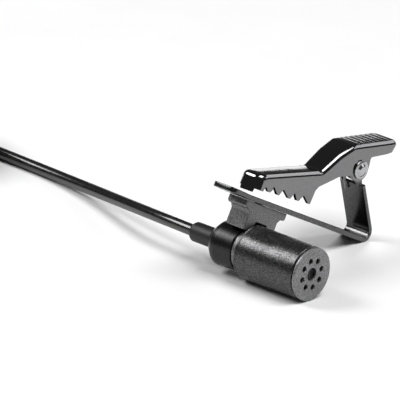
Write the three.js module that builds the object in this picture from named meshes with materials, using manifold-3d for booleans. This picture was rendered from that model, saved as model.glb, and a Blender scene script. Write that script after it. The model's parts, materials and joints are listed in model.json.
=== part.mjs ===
// Lavalier microphone on a spring clip, with its cable and 3.5 mm plug. Millimetres, +Z up.
//
// The microphone and its clip are drawn in the microphone's own frame: X runs along the barrel towards
// the grille, Y towards the clip's bend and Z from the barrel up to the clip. The group then leans about X
// until it rests on the barrel and on the clip's bend. The cable and the plug are drawn where they lie.
import * as THREE from "three";
import { mergeVertices } from "three/addons/utils/BufferGeometryUtils.js";
import Module from "manifold-3d";

const wasm = await Module();
wasm.setup();

// Fits
const GAP = 0.3; // between hidden pieces, and between the cable's stretches
const CLOSE = 0.1; // between pieces whose joint line shows, and round every turning piece

// Microphone, along X
const FACE_X = 13.9;
const BARREL_R = 4.18;
const BARREL_FRONT_R = 4.13;
const BARREL_WALL = 0.5;
const BARREL_REAR_X = 1.8;
const CAP_R = 4.08;
const CAP_THICKNESS = 0.45;
const CAP_GROOVE = 0.2; // shadow line between cap and barrel
const CAP_SKIRT = 1.4;
const CENTRE_HOLE_R = 1.0;
const RING_HOLE_R = 0.45;
const RING_HOLE_COUNT = 8;
const RING_HOLE_CIRCLE_R = 2.14;
const RING_HOLE_START = THREE.MathUtils.degToRad(8.6);
const CAPSULE_R = 3.0;
const CAPSULE_LENGTH = 2.7;
const NECK_R = 2.75;
const NECK_FRONT_X = 1.7;
const NECK_REAR_X = 0.55;
const NECK_BORE_R = 1.2;
const HOUSING_REAR_X = -5.1;
const HOUSING_END_WALL = 0.7;
const BOOT_R = 1.52;
const BOOT_END_X = -9.5;
// the wide head that holds the boot in the housing
const BOOT_HEAD_X = HOUSING_REAR_X + HOUSING_END_WALL + CLOSE;
const BOOT_HEAD_R = 2.3;
const BOOT_HEAD_LENGTH = 0.7;
const CRIMP_X = BOOT_HEAD_X + BOOT_HEAD_LENGTH + CLOSE;
const CRIMP_LENGTH = 1.0;
const CABLE_R = 0.9;

// Clip, in Y and Z
const HOLDER_TOP_Z = 7.02;
const HOLDER_WIDTH = 3.6;
const STRIP_BOTTOM_Z = HOLDER_TOP_Z + CLOSE;
const STRIP_THICKNESS = 0.8;
const STRIP_TOP_Z = STRIP_BOTTOM_Z + STRIP_THICKNESS;
const STRIP_WIDTH = 4.66;
const STRIP_TIP_Y = -9.45;
const STRIP_TIP_RISE = 0.2;
const STRIP_LEVEL_Y = -5.2; // the strip is level from here to the bend
const BEND_Y = 24.3;
const BEND_R = 1.5;
const STRAP_THICKNESS = 0.6;
const PIVOT_Y = 17.35;
const PIVOT_Z = 17.2;
const JAW_FRONT_WIDTH = 4.3;
const JAW_LEVER_WIDTH = 5.0;
const JAW_SHEET = 0.5;
const EAR_R = 1.9;
const INNER_EAR_X = 1.8; // outer face of the lower jaw's ears
const INNER_EAR_THICKNESS = 0.45;
const PIN_R = 0.6;
const PIN_HEAD_R = 1.45;
const RIVET_R = 0.6;

// Cable and plug, in the resting frame
const COIL_MEAN_R = 10.8;
const COIL_COLUMNS = 4;
const COIL_LAYERS = 4;
const COIL_PITCH = 1.84;
const TIE_THICKNESS = 0.4;
const SHELL_R = 3.3;
const CONTACT_R = 1.75;

const SMOOTH = 40; // sides of a large round piece
const COARSE = 20; // sides of a small one

// ---------------------------------------------------------------- solids

function solidOf(geometry) {
  const bare = geometry.clone();
  bare.deleteAttribute("normal");
  bare.deleteAttribute("uv");
  const merged = mergeVertices(bare, 1e-4);
  const triangles = new Uint32Array(merged.index.array);
  const vertProperties = merged.attributes.position.array;
  const build = () => new wasm.Manifold(new wasm.Mesh({ numProp: 3, vertProperties, triVerts: triangles }));
  const made = build();
  if (made.volume() >= 0) return made;
  for (let i = 0; i < triangles.length; i += 3) {
    [triangles[i + 1], triangles[i + 2]] = [triangles[i + 2], triangles[i + 1]];
  }
  return build();
}

function geometryOf(solid) {
  const mesh = solid.getMesh();
  const positions = new Float32Array(mesh.numVert * 3);
  for (let i = 0; i < mesh.numVert; i++) {
    positions.set(mesh.vertProperties.subarray(i * mesh.numProp, i * mesh.numProp + 3), i * 3);
  }
  const geometry = new THREE.BufferGeometry();
  geometry.setAttribute("position", new THREE.BufferAttribute(positions, 3));
  geometry.setIndex(new THREE.BufferAttribute(mesh.triVerts, 1));
  geometry.computeVertexNormals();
  return geometry;
}

function join(first, ...others) {
  return others.reduce((sum, next) => sum.add(next), first);
}

function cut(body, ...cutters) {
  return cutters.reduce((rest, next) => rest.subtract(next), body);
}

// Turned about the X axis, from [x, radius] points.
function turned(profile, sides = SMOOTH) {
  const points = profile.map(([x, r]) => new THREE.Vector2(r, x));
  return solidOf(new THREE.LatheGeometry(points, sides).rotateZ(-Math.PI / 2));
}

// A tube about the X axis, from the [x, radius] points of its outside and its bore radius.
function turnedTube(outside, bore, sides = SMOOTH) {
  const [start, end] = [outside[0][0], outside[outside.length - 1][0]];
  return turned([[start, bore], ...outside, [end, bore], [start, bore]], sides);
}

function rodX(radius, fromX, toX, y = 0, z = 0, sides = COARSE) {
  const rod = turned([[fromX, 0], [fromX, radius], [toX, radius], [toX, 0]], sides);
  return rod.translate([0, y, z]);
}

// Turned about the Z axis, from [z, radius] points.
function turnedUp(profile, sides = COARSE) {
  const points = profile.map(([z, r]) => new THREE.Vector2(r, z));
  return solidOf(new THREE.LatheGeometry(points, sides).rotateX(Math.PI / 2));
}

function rodUp(radius, fromZ, toZ) {
  return turnedUp([[fromZ, 0], [fromZ, radius], [toZ, radius], [toZ, 0]]);
}

function shapeOf(points) {
  return new THREE.Shape(points.map(([a, b]) => new THREE.Vector2(a, b)));
}

function extruded(shape, depth, curveSegments = 8) {
  return new THREE.ExtrudeGeometry(shape, { depth, bevelEnabled: false, curveSegments });
}

const X = new THREE.Vector3(1, 0, 0);
const Y = new THREE.Vector3(0, 1, 0);
const Z = new THREE.Vector3(0, 0, 1);

// A side outline in Y and Z, given a width along X and centred on centreX.
function slab(shape, width, centreX = 0) {
  const geometry = extruded(shape, width);
  geometry.applyMatrix4(new THREE.Matrix4().makeBasis(Y, Z, X));
  return solidOf(geometry.translate(centreX - width / 2, 0, 0));
}

// A plan outline in X and Y, from one height to another.
function plan(shape, fromZ, toZ) {
  return solidOf(extruded(shape, toZ - fromZ).translate(0, 0, fromZ));
}

function block(minX, maxX, minY, maxY, minZ, maxZ) {
  const geometry = new THREE.BoxGeometry(maxX - minX, maxY - minY, maxZ - minZ);
  return solidOf(geometry.translate((minX + maxX) / 2, (minY + maxY) / 2, (minZ + maxZ) / 2));
}

function polygonSection(radius, sides) {
  const corners = Array.from({ length: sides }, (_, i) => {
    const angle = (i / sides) * 2 * Math.PI;
    return [radius * Math.cos(angle), radius * Math.sin(angle)];
  });
  return shapeOf(corners);
}

function tubeAlong(points, radius, steps, sides = 8) {
  const corners = points.map((p) => new THREE.Vector3(...p));
  const path = new THREE.CatmullRomCurve3(corners, false, "centripetal");
  const settings = { steps, extrudePath: path, bevelEnabled: false };
  return solidOf(new THREE.ExtrudeGeometry(polygonSection(radius, sides), settings));
}

function piece(name, solid, color, roughness, metalness = 0) {
  const material = new THREE.MeshStandardMaterial({ color, roughness, metalness });
  const mesh = new THREE.Mesh(geometryOf(solid), material);
  mesh.name = name;
  return mesh;
}

// ---------------------------------------------------------------- microphone

function grilleCap() {
  const backX = FACE_X - CAP_THICKNESS;
  const skirtR = BARREL_R - BARREL_WALL - CLOSE;
  const chamfer = 0.15;
  const wall = 0.35;
  const skirtEndX = backX - CAP_GROOVE - CAP_SKIRT;
  const body = turned([
    [backX, 0],
    [backX, skirtR - wall],
    [skirtEndX, skirtR - wall],
    [skirtEndX, skirtR],
    [backX, skirtR],
    [backX, CAP_R],
    [FACE_X - chamfer, CAP_R],
    [FACE_X, CAP_R - chamfer],
    [FACE_X, 0],
  ]);
  const holes = [rodX(CENTRE_HOLE_R, backX - 1, FACE_X + 1)];
  for (let i = 0; i < RING_HOLE_COUNT; i++) {
    const angle = RING_HOLE_START + (i / RING_HOLE_COUNT) * 2 * Math.PI;
    const y = RING_HOLE_CIRCLE_R * Math.sin(angle);
    const z = RING_HOLE_CIRCLE_R * Math.cos(angle);
    holes.push(rodX(RING_HOLE_R, backX - 1, FACE_X + 1, y, z, 12));
  }
  return piece("grille_cap", cut(body, ...holes), 0x3a3a3c, 0.6, 0.4);
}

function acousticMesh() {
  const frontX = FACE_X - CAP_THICKNESS - GAP;
  const solid = rodX(BARREL_R - BARREL_WALL - 0.45 - GAP, frontX - 0.2, frontX, 0, 0, SMOOTH);
  return piece("acoustic_mesh", solid, 0x101010, 0.95);
}

function barrel() {
  const frontX = FACE_X - CAP_THICKNESS - CAP_GROOVE;
  const rear = BARREL_REAR_X;
  const inner = BARREL_R - BARREL_WALL;
  const endWall = 0.8;
  const lineX = rear + 0.45; // fine turned line near the rear edge
  const solid = turned([
    [rear, 1.9],
    [rear, BARREL_R - 0.2],
    [rear + 0.15, BARREL_R],
    [lineX, BARREL_R],
    [lineX + 0.08, BARREL_R - 0.08],
    [lineX + 0.16, BARREL_R],
    [frontX - 0.1, BARREL_FRONT_R],
    [frontX, BARREL_FRONT_R - 0.1],
    [frontX, inner],
    [rear + endWall, inner],
    [rear + endWall, 1.9],
    [rear, 1.9],
  ]);
  return piece("barrel", solid, 0x1c1c1e, 0.45, 0.7);
}

const CAPSULE_FRONT_X = 11.2;
const CAPSULE_BACK_X = CAPSULE_FRONT_X - CAPSULE_LENGTH;

function electretCapsule() {
  const port = 0.6;
  const solid = turned([
    [CAPSULE_BACK_X, 0],
    [CAPSULE_BACK_X, CAPSULE_R],
    [CAPSULE_FRONT_X - 0.2, CAPSULE_R],
    [CAPSULE_FRONT_X, CAPSULE_R - 0.2],
    [CAPSULE_FRONT_X, port],
    [CAPSULE_FRONT_X - 0.4, port],
    [CAPSULE_FRONT_X - 0.4, 0],
  ]);
  return piece("electret_capsule", solid, 0xc8c8c8, 0.3, 0.9);
}

function capsuleSleeve() {
  const outer = BARREL_R - BARREL_WALL - CLOSE;
  const solid = turnedTube(
    [[CAPSULE_BACK_X - 0.2, outer], [CAPSULE_FRONT_X - 0.1, outer]],
    CAPSULE_R + CLOSE,
  );
  return piece("capsule_sleeve", solid, 0x151515, 0.8);
}

const BOARD_BACK_X = CAPSULE_BACK_X - GAP - 0.6;

function capsuleBoard() {
  const disc = rodX(2.7, BOARD_BACK_X, BOARD_BACK_X + 0.6, 0, 0, 24);
  const pad = (side) => rodX(0.55, BOARD_BACK_X - 0.15, BOARD_BACK_X + 0.1, side * 1.1, 0, 10);
  const pads = [pad(-1), pad(1)];
  return piece("capsule_board", join(disc, ...pads), 0x1f5a33, 0.5);
}

function wire(name, side, color) {
  const fromX = BOARD_BACK_X - 0.15 - GAP;
  const toX = CRIMP_X + CRIMP_LENGTH + GAP;
  const points = [
    [fromX, side * 1.1, 0],
    [fromX - 1.5, side * 0.95, 0.1],
    [3.6, side * 0.5, 0],
    [1.2, side * 0.45, 0],
    [-1.0, side * 0.45, 0],
    [toX, side * 0.4, 0],
  ];
  return piece(name, tubeAlong(points, 0.22, 12, 6), color, 0.5);
}

function neckCollar() {
  const spigot = 1.9 - CLOSE;
  const solid = turned([
    [NECK_REAR_X - 1.6, NECK_BORE_R],
    [NECK_REAR_X - 1.6, 2.2],
    [NECK_REAR_X, 2.2],
    [NECK_REAR_X, NECK_R],
    [NECK_FRONT_X, NECK_R],
    [NECK_FRONT_X, spigot],
    [NECK_FRONT_X + 1.6, spigot],
    [NECK_FRONT_X + 1.6, NECK_BORE_R],
    [NECK_REAR_X - 1.6, NECK_BORE_R],
  ], 32);
  return piece("neck_collar", solid, 0x19191a, 0.5, 0.6);
}

function rearHousing() {
  const front = NECK_REAR_X - CLOSE;
  const wallX = HOUSING_REAR_X + HOUSING_END_WALL;
  const solid = turned([
    [front, 2.3],
    [front, 3.2],
    [front - 0.1, 3.3],
    [-1.2, 3.42],
    [-2.7, 3.55],
    [-3.3, 3.45],
    [-3.9, 3.1],
    [-4.4, 2.6],
    [-4.8, 2.1],
    [HOUSING_REAR_X, 1.85],
    [HOUSING_REAR_X, BOOT_R + CLOSE],
    [wallX, BOOT_R + CLOSE],
    [wallX, 2.5],
    [-1.3, 2.6],
    [-1.3, 2.3],
    [front, 2.3],
  ]);
  return piece("rear_housing", solid, 0x202022, 0.4, 0.3);
}

function cableBoot() {
  const solid = turnedTube([
    [BOOT_END_X, BOOT_R - 0.4],
    [BOOT_END_X + 0.15, BOOT_R - 0.15],
    [BOOT_END_X + 0.5, BOOT_R],
    [BOOT_HEAD_X, BOOT_R],
    [BOOT_HEAD_X, BOOT_HEAD_R],
    [BOOT_HEAD_X + BOOT_HEAD_LENGTH, BOOT_HEAD_R],
  ], CABLE_R + CLOSE, 28);
  return piece("cable_boot", solid, 0x141414, 0.75);
}

function cableEnd() {
  const solid = rodX(CABLE_R, BOOT_END_X, CRIMP_X + CRIMP_LENGTH, 0, 0, 16);
  return piece("cable_end", solid, 0x121212, 0.5);
}

function crimpSleeve() {
  const end = CRIMP_X + CRIMP_LENGTH;
  const outside = [[CRIMP_X, 1.3], [CRIMP_X + 0.2, 1.45], [end - 0.2, 1.45], [end, 1.3]];
  const solid = turnedTube(outside, CABLE_R + CLOSE, COARSE);
  return piece("crimp_sleeve", solid, 0xb08a4a, 0.35, 0.9);
}

// ---------------------------------------------------------------- clip

function micHolder() {
  const half = HOLDER_WIDTH / 2;
  const flanged = slab(shapeOf([
    [-5.15, HOLDER_TOP_Z],
    [-5.15, 6.2],
    [-4.9, 5.95],
    [-4.1, 5.85],
    [-3.65, 5.3],
    [-3.65, 2.8],
    [3.65, 2.8],
    [3.65, 5.3],
    [4.1, 5.85],
    [4.9, 5.95],
    [5.15, 6.2],
    [5.15, HOLDER_TOP_Z],
  ]), HOLDER_WIDTH);
  const ringX0 = NECK_REAR_X + 0.1;
  const ringX1 = NECK_FRONT_X;
  const ring = turnedTube([[ringX0, 3.45], [ringX1, 3.45]], NECK_R + CLOSE);
  const opening = block(ringX0 - 1, ringX1 + 1, -1.5, 1.5, -5, 0);
  const housingSpace = rodX(3.7 + CLOSE, -half - 1, ringX0, 0, 0, SMOOTH);
  const barrelSpace = rodX(BARREL_R + CLOSE, ringX1, half + 1, 0, 0, SMOOTH);
  const neckSpace = rodX(NECK_R + CLOSE, -half - 1, half + 1, 0, 0, SMOOTH);
  const slot = block(-0.4, half + 1, -1.5, 1.5, 3.4, 4.45);
  const rivetHole = rodUp(RIVET_R + GAP, 4.6, 8);
  const body = join(cut(flanged, housingSpace, barrelSpace), cut(ring, opening));
  const solid = cut(body, neckSpace, slot, rivetHole);
  return piece("mic_holder", solid, 0x2a2a2b, 0.5, 0.2);
}

// The rivet's head sits flush in a recess of the strip.
const RIVET_HEAD_R = 1.2;
const RIVET_RECESS_Z = STRIP_TOP_Z - 0.4;

function swivelRivet() {
  const solid = turnedUp([
    [4.75, 0],
    [4.75, RIVET_R],
    [RIVET_RECESS_Z + CLOSE, RIVET_R],
    [RIVET_RECESS_Z + CLOSE, RIVET_HEAD_R],
    [STRIP_TOP_Z, RIVET_HEAD_R],
    [STRIP_TOP_Z, 0],
  ]);
  return piece("swivel_rivet", solid, 0x5a5a5c, 0.3, 0.9);
}

// Where the strap leaves the bend, and the direction in which it leans back to the pivot.
const BEND_Z = STRIP_BOTTOM_Z + BEND_R;
const STRAP_TOP = new THREE.Vector2(20.15, 15.3);
const EAR_BOTTOM_Z = 15.2;

function lowerJawShape() {
  const shape = new THREE.Shape();
  const centre = new THREE.Vector2(BEND_Y, BEND_Z);
  const toTop = STRAP_TOP.clone().sub(centre);
  // The strap's outer face touches the bend's outer circle.
  const lean = Math.atan2(toTop.y, toTop.x) + Math.asin(BEND_R / toTop.length());
  const along = new THREE.Vector2(Math.cos(lean), Math.sin(lean));
  const outward = new THREE.Vector2(along.y, -along.x);
  const outwardAngle = Math.atan2(outward.y, outward.x);
  const innerR = BEND_R - STRAP_THICKNESS;
  const outerTop = STRAP_TOP.clone();
  const innerTop = outerTop.clone().addScaledVector(outward, -STRAP_THICKNESS);
  shape.moveTo(STRIP_TIP_Y, STRIP_BOTTOM_Z + STRIP_TIP_RISE);
  shape.lineTo(STRIP_LEVEL_Y, STRIP_BOTTOM_Z);
  shape.lineTo(BEND_Y, STRIP_BOTTOM_Z);
  shape.absarc(BEND_Y, BEND_Z, BEND_R, -Math.PI / 2, outwardAngle, false);
  shape.lineTo(outerTop.x, outerTop.y);
  shape.absarc(PIVOT_Y, PIVOT_Z, EAR_R - 0.2, -0.1 * Math.PI, 1.05 * Math.PI, false);
  shape.lineTo(PIVOT_Y - 1.85, EAR_BOTTOM_Z + 0.4);
  shape.lineTo(innerTop.x - 0.4, EAR_BOTTOM_Z);
  shape.lineTo(innerTop.x, innerTop.y);
  shape.absarc(BEND_Y, BEND_Z, innerR, outwardAngle, -Math.PI / 2 + 0.3, true);
  shape.lineTo(BEND_Y - 0.8, STRIP_TOP_Z);
  shape.lineTo(STRIP_LEVEL_Y, STRIP_TOP_Z);
  shape.lineTo(STRIP_TIP_Y, STRIP_TOP_Z + STRIP_TIP_RISE);
  return shape;
}

function lowerJaw() {
  const half = STRIP_WIDTH / 2;
  const corner = 1.0;
  const tip = new THREE.Shape();
  tip.moveTo(half, 40);
  tip.lineTo(-half, 40);
  tip.lineTo(-half, STRIP_TIP_Y + corner);
  tip.absarc(-half + corner, STRIP_TIP_Y + corner, corner, Math.PI, 1.5 * Math.PI, false);
  tip.lineTo(half - corner, STRIP_TIP_Y);
  tip.absarc(half - corner, STRIP_TIP_Y + corner, corner, -Math.PI / 2, 0, false);
  const innerFace = INNER_EAR_X - INNER_EAR_THICKNESS;
  const between = block(-innerFace, innerFace, 10, 30, EAR_BOTTOM_Z, 30);
  const nearSide = block(INNER_EAR_X, 5, 10, 30, EAR_BOTTOM_Z, 30);
  const farSide = block(-5, -INNER_EAR_X, 10, 30, EAR_BOTTOM_Z, 30);
  const pinHole = rodX(PIN_R + CLOSE, -5, 5, PIVOT_Y, PIVOT_Z);
  const rivetHole = rodUp(RIVET_R + CLOSE, 6, 9);
  const rivetRecess = rodUp(RIVET_HEAD_R + CLOSE, RIVET_RECESS_Z, 9);
  const blank = slab(lowerJawShape(), STRIP_WIDTH).intersect(plan(tip, 0, 30));
  const solid = cut(blank, between, nearSide, farSide, pinHole, rivetHole, rivetRecess);
  return piece("lower_jaw", solid, 0x4a4a4c, 0.35, 0.8);
}

// Teeth of the upper jaw from front to back: the valley before each one, then its tip.
const TEETH = [
  [[-2.45, 9.85], [-1.3, 9.22]],
  [[-0.6, 10.3], [1.0, 9.28]],
  [[1.8, 10.4], [3.85, 9.38]],
  [[4.7, 10.5], [5.95, 9.5]],
  [[7.0, 10.6], [8.85, 9.65]],
];
const JAW_FRONT = [-4.2, 11.2];
const NOSE_R = 1.4; // rounding of the jaw's front, seen from above
const END_R = 0.9; // and of the lever's end
const LIP_HALF_WIDTH = 1.2; // the middle of the front reaches lower than the side walls
const LIP_BOTTOM_Z = 8.4;
const SIDE_BOTTOM_Z = 9.0;
const JAW_KNEE = [9.4, 14.95];
const JAW_SHOULDER = [11.8, 18.05];
const JAW_CREST = [14.2, 20.25];
const JAW_END = [23.6, 23.3];
const LEVER_END_Y = 24.0;

function upperJawOutline() {
  const flat = 0.2; // half the flat on each tip
  const teeth = TEETH.flatMap(([valley, [y, z]]) => [valley, [y - flat, z], [y + flat, z]]);
  return [
    JAW_FRONT,
    [JAW_FRONT[0] + 0.05, LIP_BOTTOM_Z],
    [JAW_FRONT[0] + 0.6, LIP_BOTTOM_Z],
    [-2.85, SIDE_BOTTOM_Z],
    ...teeth,
    [9.15, 10.6],
    [9.1, 11.8],
    [9.6, 12.5],
    [13.3, 15.1],
    [PIVOT_Y - 1.6, 15.9],
    [PIVOT_Y + EAR_R, PIVOT_Z],
    [PIVOT_Y + EAR_R - 0.2, 18.5],
    [18.6, 19.4],
    [22.4, 20.8],
    [23.5, 21.4],
    [LEVER_END_Y, 22.2],
    JAW_END,
    JAW_CREST,
    JAW_SHOULDER,
    JAW_KNEE,
  ];
}

// The hollow under the sheet: its top follows the outside one sheet thickness lower.
function upperJawHollow() {
  const s = JAW_SHEET;
  return [
    [JAW_FRONT[0], 0],
    [JAW_FRONT[0], JAW_FRONT[1] - 1.2 * s],
    [JAW_KNEE[0] + 0.6 * s, JAW_KNEE[1] - 0.9 * s],
    [JAW_SHOULDER[0] + 0.75 * s, JAW_SHOULDER[1] - 0.7 * s],
    [JAW_CREST[0] + 0.5 * s, JAW_CREST[1] - 0.9 * s],
    [JAW_END[0] - s, JAW_END[1] - 1.25 * s],
    [JAW_END[0] - s, 0],
  ];
}

function thumbRidges() {
  const from = new THREE.Vector2(...JAW_CREST);
  const to = new THREE.Vector2(...JAW_END);
  const along = to.clone().sub(from).normalize();
  const up = new THREE.Vector2(-along.y, along.x);
  const count = 7;
  const pitch = 1.15;
  return Array.from({ length: count }, (_, i) => {
    const base = from.clone().addScaledVector(along, 1.5 + i * pitch);
    const corner = (a, b) => {
      const p = base.clone().addScaledVector(along, a).addScaledVector(up, b);
      return [p.x, p.y];
    };
    const ridge = shapeOf([corner(0, -0.2), corner(0.5, -0.2), corner(0.4, 0.2), corner(0.1, 0.2)]);
    return slab(ridge, JAW_LEVER_WIDTH - 0.8);
  });
}

// Seen from above, the toothed front is narrower than the lever: the sides flare behind the knee.
function jawPlan(inset) {
  const front = JAW_FRONT_WIDTH / 2 - inset;
  const lever = JAW_LEVER_WIDTH / 2 - inset;
  const flareFrom = JAW_KNEE[0] - 0.3;
  const flareTo = PIVOT_Y - EAR_R - 0.4;
  const noseY = JAW_FRONT[0] + inset;
  const radius = NOSE_R - inset;
  const endY = LEVER_END_Y - inset;
  const endR = END_R - inset;
  const shape = new THREE.Shape();
  shape.moveTo(front, flareFrom);
  shape.lineTo(lever, flareTo);
  shape.absarc(lever - endR, endY - endR, endR, 0, Math.PI / 2, false);
  shape.absarc(-lever + endR, endY - endR, endR, Math.PI / 2, Math.PI, false);
  shape.lineTo(-lever, flareTo);
  shape.lineTo(-front, flareFrom);
  shape.absarc(-front + radius, noseY + radius, radius, Math.PI, 1.5 * Math.PI, false);
  shape.absarc(front - radius, noseY + radius, radius, -Math.PI / 2, 0, false);
  return shape;
}

function upperJaw() {
  const ears = rodX(EAR_R, -JAW_LEVER_WIDTH / 2, JAW_LEVER_WIDTH / 2, PIVOT_Y, PIVOT_Z, SMOOTH);
  const blank = join(slab(shapeOf(upperJawOutline()), JAW_LEVER_WIDTH), ears);
  const besideLip = [-1, 1].map((side) => {
    const [inner, outer] = [side * LIP_HALF_WIDTH, side * 4];
    return block(Math.min(inner, outer), Math.max(inner, outer), -5, -2.8, 0, SIDE_BOTTOM_Z);
  });
  const outside = cut(blank.intersect(plan(jawPlan(0), 0, 30)), ...besideLip);
  const inside = slab(shapeOf(upperJawHollow()), JAW_LEVER_WIDTH);
  const hollow = inside.intersect(plan(jawPlan(JAW_SHEET), -1, 30));
  const pinHole = rodX(PIN_R + CLOSE, -5, 5, PIVOT_Y, PIVOT_Z);
  const channel = cut(outside, hollow, pinHole);
  return piece("upper_jaw", join(channel, ...thumbRidges()), 0x3c3c3e, 0.3, 0.85);
}

function hingePin() {
  const side = JAW_LEVER_WIDTH / 2 + CLOSE;
  const dome = (sign) => [
    [sign * side, PIN_HEAD_R],
    [sign * (side + 0.2), PIN_HEAD_R - 0.08],
    [sign * (side + 0.45), PIN_HEAD_R - 0.5],
    [sign * (side + 0.55), PIN_HEAD_R - 1.0],
    [sign * (side + 0.58), 0],
  ];
  const profile = [...dome(-1).reverse(), [-side, PIN_R], [side, PIN_R], ...dome(1)];
  return piece("hinge_pin", turned(profile, 24).translate([0, PIVOT_Y, PIVOT_Z]), 0x8a8a8c, 0.2, 1);
}

function torsionSpring() {
  const wireR = 0.18;
  const coilR = 1.0;
  const turns = 4;
  const halfLength = 1.0;
  const perTurn = 12;
  const points = [[-halfLength, 20.3, 13.8], [-halfLength, 19.25, 14.9], [-halfLength, 18.5, 16.0]];
  for (let i = 0; i <= turns * perTurn; i++) {
    const angle = (i / perTurn) * 2 * Math.PI;
    const x = -halfLength + (2 * halfLength * i) / (turns * perTurn);
    points.push([x, PIVOT_Y + coilR * Math.cos(angle), PIVOT_Z + coilR * Math.sin(angle)]);
  }
  points.push([halfLength, 18.5, 18.4], [halfLength, 19.5, 20.0], [halfLength, 20.3, 20.7]);
  return piece("torsion_spring", tubeAlong(points, wireR, 90, 6), 0x9a9a9c, 0.3, 0.9);
}

// ---------------------------------------------------------------- resting pose

// The lean at which the barrel and the outside of the bend touch the same surface.
function restingLean() {
  const reach = Math.hypot(BEND_Y, BEND_Z);
  return Math.atan2(BEND_Z, BEND_Y) + Math.asin((BARREL_R - BEND_R) / reach);
}

function microphoneOnClip() {
  const group = new THREE.Group();
  group.add(
    grilleCap(), acousticMesh(), barrel(), electretCapsule(), capsuleSleeve(), capsuleBoard(),
    wire("signal_wire", 1, 0xb03030), wire("ground_wire", -1, 0xd0d0d0),
    neckCollar(), rearHousing(), crimpSleeve(), cableBoot(), cableEnd(),
    micHolder(), swivelRivet(), lowerJaw(), hingePin(), torsionSpring(), upperJaw(),
  );
  group.rotation.x = -restingLean();
  const box = new THREE.Box3().setFromObject(group, true);
  group.position.set(-(box.min.x + box.max.x) / 2, -(box.min.y + box.max.y) / 2, BARREL_R);
  return group;
}

// ---------------------------------------------------------------- cable and plug

// The free cable, as steps from the boot's mouth: it sinks to the surface and bears off to one side.
const RUN_ROUTE = [
  [0, 0, 0],
  [-4.5, 0.2, 0],
  [-8.5, 0.86, -0.25],
  [-12.5, 1.95, -0.7],
  [-16.5, 3.25, -1.25],
  [-20.5, 4.55, -1.8],
  [-24.5, 5.75, -2.3],
  [-28.5, 6.78, -2.72],
  [-32.5, 7.57, -3.02],
  [-36.5, 8.11, -3.2],
  [-40.5, 8.44, -3.28],
  [-44.5, 8.62, -3.28],
  [-48.5, 8.8, -3.28],
  [-52.5, 8.98, -3.28],
];
const COIL_JOIN = [-60.3, 9.4]; // where the cable runs into the coil's outermost turn

const COIL_OUTER_TURN_R = COIL_MEAN_R + ((COIL_COLUMNS - 1) / 2) * COIL_PITCH;
const COIL_HALF_WIDTH = ((COIL_COLUMNS - 1) / 2) * COIL_PITCH + CABLE_R;
const COIL_HEIGHT = (COIL_LAYERS - 1) * COIL_PITCH + 2 * CABLE_R;
const COIL_BASE_Z = TIE_THICKNESS + CLOSE;

function alongRoute(points, start) {
  return points.map(([x, y, z]) => [start.x + x, start.y + y, start.z + z]);
}

function cableRun(exit) {
  const clear = [-GAP, 0, 0];
  const points = alongRoute([clear, ...RUN_ROUTE.slice(1)], exit);
  return piece("cable_run", tubeAlong(points, CABLE_R, 14), 0x141414, 0.4);
}

function cableCoil(centre) {
  const corner = CABLE_R;
  const [inner, outer] = [COIL_MEAN_R - COIL_HALF_WIDTH, COIL_MEAN_R + COIL_HALF_WIDTH];
  const top = COIL_BASE_Z + COIL_HEIGHT;
  const solid = turnedUp([
    [COIL_BASE_Z, inner + corner],
    [COIL_BASE_Z, outer - corner],
    [COIL_BASE_Z + corner, outer],
    [top - corner, outer],
    [top, outer - corner],
    [top, inner + corner],
    [top - corner, inner],
    [COIL_BASE_Z + corner, inner],
    [COIL_BASE_Z, inner + corner],
  ], 36);
  return piece("cable_coil", solid.translate([centre.x, centre.y, 0]), 0x141414, 0.4);
}

const TIE_TURN = 225; // degrees from +Y round to the tie's place on the coil

function coilTie(centre) {
  const width = 3.2;
  const bow = 0.2; // the coil's inner side bends this far past a straight tie
  const hole = {
    near: COIL_MEAN_R - COIL_HALF_WIDTH - bow - GAP,
    far: COIL_MEAN_R + COIL_HALF_WIDTH + GAP,
    bottom: TIE_THICKNESS,
    top: COIL_BASE_Z + COIL_HEIGHT + CLOSE,
  };
  const t = TIE_THICKNESS;
  const outline = shapeOf([
    [hole.near - t, hole.bottom],
    [hole.near, 0],
    [hole.far, 0],
    [hole.far + t, hole.bottom],
    [hole.far + t, hole.top],
    [hole.far, hole.top + t],
    [hole.near, hole.top + t],
    [hole.near - t, hole.top],
  ]);
  const bundle = block(-width, width, hole.near, hole.far, hole.bottom, hole.top);
  const solid = cut(slab(outline, width), bundle).rotate([0, 0, TIE_TURN]);
  return piece("coil_tie", solid.translate([centre.x, centre.y, 0]), 0x101010, 0.9);
}

// The last stretch winds down the outside of the coil and runs straight off to the plug.
const TAIL_R = COIL_MEAN_R + COIL_HALF_WIDTH + GAP + CABLE_R;
const TAIL_FROM = THREE.MathUtils.degToRad(118);
const TAIL_TO = THREE.MathUtils.degToRad(255);
const TAIL_TOP_Z = COIL_BASE_Z + COIL_HEIGHT - CABLE_R;
const TAIL_STRAIGHT = 10;

function tailDirection() {
  return new THREE.Vector3(-Math.sin(TAIL_TO), Math.cos(TAIL_TO), 0);
}

function tailPoints(centre) {
  const points = [];
  const bends = 12;
  for (let i = 0; i <= bends; i++) {
    const angle = TAIL_FROM + ((TAIL_TO - TAIL_FROM) * i) / bends;
    const fall = THREE.MathUtils.smoothstep(i / bends, 0, 1);
    const z = THREE.MathUtils.lerp(TAIL_TOP_Z, CABLE_R, fall);
    points.push([centre.x + TAIL_R * Math.cos(angle), centre.y + TAIL_R * Math.sin(angle), z]);
  }
  const [x, y] = points[points.length - 1];
  const towards = tailDirection();
  const lift = [[2.5, CABLE_R], [5, CABLE_R + 0.5], [7.5, SHELL_R - 0.5], [TAIL_STRAIGHT, SHELL_R]];
  lift.forEach(([along, z]) => points.push([x + towards.x * along, y + towards.y * along, z]));
  return points;
}

function cableTail(centre) {
  return piece("cable_tail", tubeAlong(tailPoints(centre), CABLE_R, 14), 0x141414, 0.4);
}

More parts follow.
